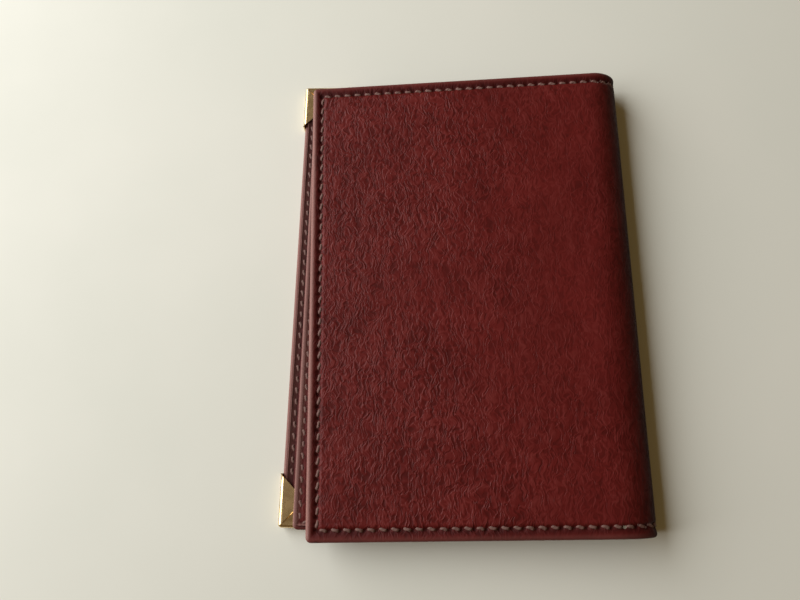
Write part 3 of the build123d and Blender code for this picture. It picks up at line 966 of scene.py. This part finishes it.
all_stitches = sheet_stitches()
LINING_HALF = HALF - FLANGE - LINING_GAP
for name, first, second, angle, start, end in STRIPS:
    if name in COVERS:
        edge, fold_edge, root, side = COVERS[name]
        leather = cover_leather(f"leather_{name}", edge, root)
        west = edge + side * (FLANGE + LINING_GAP)
        outline = Outline(west, lambda b: sheet_at(root, b), LINING_HALF, LINING_CORNER, COARSE)
        lining_at = lining_place
    else:
        leather = fold_leather(f"leather_{name}", start, end)
        outline = Outline(start, end, LINING_HALF, LINING_CORNER, COARSE / 2)
        lining_at = spine_lining_place
    lining = plate(f"lining_{name}", outline, lining_at, (0.0, 1.0), LINING_CLOTH, LINING_RIM)
    bend(leather, first, second, angle, "cover_leather")
    bend(lining, first, second, angle, "lining")

    # Each stitch shows on the outer face, and on the sleeve, the flange or the fold's inner face
    mine = [p for p in all_stitches if start <= along_fold(p[0], p[1])[0] < end]
    sleeve = []
    if name in COVERS:
        sleeve = [p for p in mine if abs(p[0] - fold_edge) > POCKET_MOUTH + MOUTH_ROOM]
    bare = [p for p in mine if p not in sleeve]
    flange = [p for p in bare if off_fold(p[0], p[1]) > 0.5]
    inner_fold = [p for p in bare if off_fold(p[0], p[1]) <= 0.5]
    groups = [
        (mine, OUTER_THREAD, -1),
        (sleeve, POCKET[1] + SLEEVE_THREAD, 1),
        (flange, COVER_THICK, 1),
        (inner_fold, SPINE_THICK, 1),
    ]
    sewn = stitches(f"stitches_{name}", groups, folded, THREAD)
    bend(sewn, first, second, angle, "thread")

    if name in COVERS:
        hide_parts(f"{name}_cover_leather")
        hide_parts(f"{name}_lining")
        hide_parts(f"{name}_stitching")
        pocket = cover_pocket(f"sleeve_{name}", edge, fold_edge, side)
        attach(pocket, f"{name}_cover")
        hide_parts(f"{name}_pocket")
    elif name == "lower":
        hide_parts("spine_leather_front", "spine_leather_middle")
        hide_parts("spine_lining_front", "spine_lining_middle")
        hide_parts("spine_stitching_front", "spine_stitching_middle")
    else:
        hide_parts("spine_leather_back")
        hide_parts("spine_lining_back")
        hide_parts("spine_stitching_back")


def page_skin():
    """The page's leather: one skin round its board, with a window in its lower face."""
    outline = Outline(-PAGE_SPAN, -PAGE_ROOT, PAGE_HALF, CORNER_RADIUS, MEDIUM)
    west = WINDOW_CENTRE - WINDOW_SIZE[0] / 2
    window = Outline(west, west + WINDOW_SIZE[0], WINDOW_SIZE[1] / 2, WINDOW_RADIUS, MEDIUM)
    window.columns = outline.columns
    window.rows = outline.rows
    surface = Surface(outline)
    front, back = PAGE_FACES
    loops = []
    for inset, level in ((0.0, PAGE_FILM), (0.0, front + WINDOW_BEVEL), (-WINDOW_BEVEL, front)):
        a, b = window.loop(inset)
        loops.append(surface.add_loop(a, b, 2 * INNER_INSET, level, 1.0))
    window_a, window_b = window.loop(-5 * WINDOW_BEVEL)
    page_a, page_b = outline.loop(PAGE_FLAT)
    for share in np.linspace(0, 1, 16):
        a = window_a + (page_a - window_a) * share
        b = window_b + (page_b - window_b) * share
        loops.append(surface.add_loop(a, b, outline.inset_of(a, b), front, -1.0))
    thick = back - front
    section = [(inset, 0.0) for inset in np.arange(PAGE_FLAT - RIM_STEP, PAGE_RIM_END, -RIM_STEP)]
    section += [(PAGE_RIM * across, 1 - through) for across, through in half_round(11)]
    section += [(inset, 1.0) for inset in np.arange(PAGE_RIM_END, PAGE_FLAT, RIM_STEP)]
    for inset, share in section:
        a, b = outline.loop(inset)
        face = -1.0 if share <= 0 else 1.0
        gathered = inset >= CORNER_RADIUS
        loops.append(surface.add_loop(a, b, inset, front + thick * share, face, gathered=gathered))
    a, b = outline.filling(PAGE_FLAT)
    loops.append(surface.add_filling(PAGE_FLAT, outline.inset_of(a, b), back, 1.0))
    surface.join_loops(loops)
    rows, faces = surface.finished()
    a, b, inset, level, face = rows.T
    relief = relief_at(a + 150, b)
    flat_part = (level <= front) | (level >= back)
    off_window = inset < INNER_INSET  # the window's rim is marked with a larger inset
    sunk = PAGE_GROOVE * groove(inset, PAGE_STITCH_INSET) - RELIEF_DEPTH * relief * smooth((inset - 0.5) / 2)
    level = np.where(flat_part & off_window, level - face * sunk, level)
    layers = {
        "relief": 0.5 + 0.5 * relief,
        "grain": 0.6 * smooth(inset / 3),
        # The page's pale rim: scuffing and a painted highlight
        "scuff_and_highlight": rim_scuff_and_highlight(a + PAGE_SPAN, PAGE_HALF - np.abs(b)) * off_window,
        # Painted shade along the page's sewn groove
        "dark": 0.9 * groove(inset + 0.2, PAGE_STITCH_INSET) * off_window,
    }
    return make_object("page_leather", on_page(a, b, level), faces, COVER_LEATHER, rows[:, :2], layers)


page = page_skin()
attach(page, "page")
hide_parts("page_leather_front", "page_leather_back")

for number, mouth in enumerate(SLOT_MOUTHS):
    low = SLOT_INSET - PAGE_HALF
    centre = (low + mouth) / 2
    half = (mouth - low) / 2
    outline = Outline(SLOT_INSET - PAGE_SPAN, -PAGE_ROOT - SLOT_INSET, half, SLOT_CORNER, MEDIUM)
    level = PAGE_FACES[1] + number * SLOT_SHEET
    levels = (level, level + SLOT_SHEET)

    def slot_place(a, b, w, centre=centre):
        return on_page(a, b + centre, w)

    def slot_shape(a, b, inset, half=half, centre=centre):
        sewn = np.minimum(a + PAGE_SPAN, PAGE_HALF - np.abs(b + centre))
        hem = np.exp(-(((half - b - HEM) / SLOT_HEM_WIDTH) ** 2))
        return -SLOT_HEM_DEPTH * hem - SLOT_GROOVE * groove(sewn, PAGE_STITCH_INSET)

    name = f"card_slot_leather_{number + 1}"
    slot = plate(name, outline, slot_place, levels, POCKET_LEATHER, SLOT_RIM, slot_shape)
    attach(slot, "page")
    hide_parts(f"card_slot_{number + 1}")

page_places = three_sides(PAGE_SPAN, PAGE_HALF, PAGE_STITCH_INSET, PAGE_ROOT + 2)
groups = [(page_places, PAGE_FACES[0] - PAGE_THREAD, -1)]
for sheets in range(len(SLOT_MOUTHS) + 1):
    level = PAGE_FACES[1] + sheets * SLOT_SHEET + (SLOT_THREAD if sheets else PAGE_THREAD)
    here = [p for p in page_places if sum(p[1] < mouth for mouth in SLOT_MOUTHS) == sheets]
    groups.append((here, level, 1))
page_sewn = stitches("page_stitches", groups, on_page, THREAD)
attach(page_sewn, "page")
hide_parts("page_stitching")


def hinge_strip():
    """The cloth strip that hinges the page to the lining, thicker where it is anchored."""
    end = RADIUS - SPINE_LINING[1] - PAGE_HINGE
    along = np.linspace(STRIP_START, end, 40)
    flare = smooth((along - end + ANCHOR_FLARE) / ANCHOR_FLARE)
    half_thick = STRIP_HALF + (ANCHOR_HALF - STRIP_HALF) * flare ** 2
    middle = -0.25 * smooth(-along / 2)
    half = PAGE_HALF - STRIP_TRIM
    places = np.linspace(half, -half, round(2 * half / COARSE))
    around = np.concatenate([along, along[::-1]])
    level = np.concatenate([middle + half_thick, (middle - half_thick)[::-1]])
    surface = Surface()
    grid = surface.add(around[None, :], places[:, None], level[None, :])
    surface.join(grid, wrapped=True)
    rows, faces = surface.finished()
    a, b, w = rows.T
    w = w + 0.05 * noise(a / 2, b / 7, 61) * smooth((end - a) / 2)
    ends = []
    for row in (grid[0].tolist(), grid[-1].tolist()):
        for step in range(len(along) - 1):
            ends.append([row[step], row[step + 1], row[-2 - step], row[-1 - step]])
    points = on_page(a, b, w)
    return make_object("page_hinge_cloth", points, faces + ends, LINING_CLOTH, rows[:, :2], closed=True)


strip = hinge_strip()
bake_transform(strip)
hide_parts("page_hinge_strip", "page_anchor_strip")


def corner_cap(name, end):
    """A brass cap of pressed sheet, mitred at the corner."""
    far = CAP_LEG + CAP_WALL
    run = np.linspace(far, CAP_TIP, 22)
    bend_turn = np.linspace(0, pi / 2, 9)
    tip_x = CAP_TIP * (1 - np.sin(bend_turn))
    tip_y = CAP_TIP * (1 - np.cos(bend_turn))
    # The path follows one leg to the corner and the other leg away from it.
    path_x = np.concatenate([run[:-1], tip_x, 0 * run[1:]])
    path_y = np.concatenate([0 * run[:-1], tip_y, run[::-1][1:]])
    in_x = np.concatenate([0 * run[:-1], np.sin(bend_turn), 1 + 0 * run[1:]])
    in_y = np.concatenate([1 + 0 * run[:-1], np.cos(bend_turn), 0 * run[1:]])
    share = np.linspace(0, 1, len(path_x))
    open_x = far * (1 - share)
    open_y = far * share
    seam = np.abs(share - 0.5) < 0.25 / len(share)

    def shell(gap):
        """One side of the sheet, gap inside its outer surface, as rows from bottom to top."""
        round_off = CAP_ROUND - gap
        turn = np.linspace(0, pi / 2, 6)
        inward = round_off * (1 - np.sin(turn))
        upward = round_off * (1 - np.cos(turn))
        insets = np.concatenate([inward, upward])
        rise = np.concatenate([upward, CAP_TOP - 2 * gap - inward])
        room = np.maximum(far - np.maximum(path_x, path_y) - gap, 0)

        def across(along):
            """Places on a flat face, from its wall at 0 to its open edge at 1."""
            step_in = np.minimum(round_off, room) + gap
            x = path_x + in_x * step_in
            y = path_y + in_y * step_in
            return x + (open_x - x) * along, y + (open_y - y) * along

        rows = []
        for along in np.linspace(1, 0, 9)[:-1]:
            x, y = across(along)
            rows.append((x, y, gap + 0 * x))
        for inset, height in zip(insets, rise):
            step_in = np.minimum(inset, room) + gap
            rows.append((path_x + in_x * step_in, path_y + in_y * step_in, gap + height + 0 * path_x))
        for along in np.linspace(0, 1, 9)[1:]:
            x, y = across(along)
            near_end = np.clip(1 - y / CAP_FLAP_WIDTH, 0, 1)
            flap = CAP_FLAP_DROP * near_end * (share < 0.5)
            rows.append((x, y, CAP_TOP - gap - CAP_SEAM_DEPTH * seam - flap))
        return [np.array(part) for part in zip(*rows)]

    surface = Surface()
    outer = surface.add(*shell(0.0))
    inner = surface.add(*shell(CAP_SHEET))
    surface.join(outer)
    surface.join(inner[::-1])
    for edge_out, edge_in in ((outer[0], inner[0]), (outer[-1], inner[-1])):
        surface.join(np.array([edge_out, edge_in]))
    for column in (0, -1):
        surface.join(np.array([outer[:, column], inner[:, column]]))
    rows, faces = surface.finished()
    x, y, depth = rows.T
    a = FRONT_EDGE - CAP_WALL + x
    b = end * (HALF + CAP_WALL - y)
    piece = make_object(name, folded(a, b, depth), faces, BRASS, rows[:, :2])
    shape = bmesh.new()
    shape.from_mesh(piece.data)
    bmesh.ops.remove_doubles(shape, verts=shape.verts, dist=0.02 * MM)
    bmesh.ops.recalc_face_normals(shape, faces=shape.faces)
    shape.to_mesh(piece.data)
    shape.free()
    piece.data.set_sharp_from_angle(angle=radians(42))
    return piece


for label, end in (("top", 1), ("bottom", -1)):
    cap = corner_cap(f"brass_cap_{label}", end)
    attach(cap, "front_cover")
    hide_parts(f"front_corner_{label}")

for node, material in (
    ("front_cover_board", BOARD), ("back_cover_board", BOARD), ("page_board", BOARD), ("id_window", FILM),
):
    bpy.data.objects[node].material_slots[0].material = material


# ---- studio

def area_light(name, place, aim, size, power, colour):
    """A rectangular lamp at a place in metres, turned towards another."""
    lamp = bpy.data.lights.new(name, "AREA")
    lamp.shape = "RECTANGLE"
    lamp.size = size[0]
    lamp.size_y = size[1]
    lamp.energy = power
    lamp.color = colour
    holder = bpy.data.objects.new(name, lamp)
    bpy.context.scene.collection.objects.link(holder)
    holder.location = place
    holder.rotation_euler = (Vector(aim) - Vector(place)).to_track_quat("-Z", "Y").to_euler()


FLOOR_HALF = 3.0
floor_mesh = bpy.data.meshes.new("floor")
corners = [(x * FLOOR_HALF, y * FLOOR_HALF, 0) for x, y in ((-1, -1), (1, -1), (1, 1), (-1, 1))]
floor_mesh.from_pydata(corners, [], [(0, 1, 2, 3)])
FLOOR, _ = speckled_material("pale_floor", 14, (0.74, 0.74, 0.67), (0.78, 0.77, 0.7), (0.75, 0.65))
floor_mesh.materials.append(FLOOR)
floor = bpy.data.objects.new("floor", floor_mesh)
bpy.context.scene.collection.objects.link(floor)

world = bpy.data.worlds.new("studio")
world.use_nodes = True
world.node_tree.nodes["Background"].inputs["Color"].default_value = (1.0, 0.66, 0.26, 1)
world.node_tree.nodes["Background"].inputs["Strength"].default_value = 0.125
bpy.context.scene.world = world
bpy.context.scene.view_settings.view_transform = "Standard"

LIGHT_PLACE = (-0.526, 0.293, 0.493)
LIGHT_AIM = (0.0, 0.293, 0.493)
area_light("window", LIGHT_PLACE, LIGHT_AIM, size=(1.02, 0.765), power=12.6, colour=(0.975, 1.0, 1.0))

camera_data = bpy.data.cameras.new("camera")
camera_data.sensor_width = 36
camera_data.lens = 28.35
camera = bpy.data.objects.new("camera", camera_data)
bpy.context.scene.collection.objects.link(camera)
camera.location = (-0.00966, -0.05024, 0.18437)
camera.rotation_euler = (radians(14.74), radians(2.34), 0.0)
bpy.context.scene.camera = camera
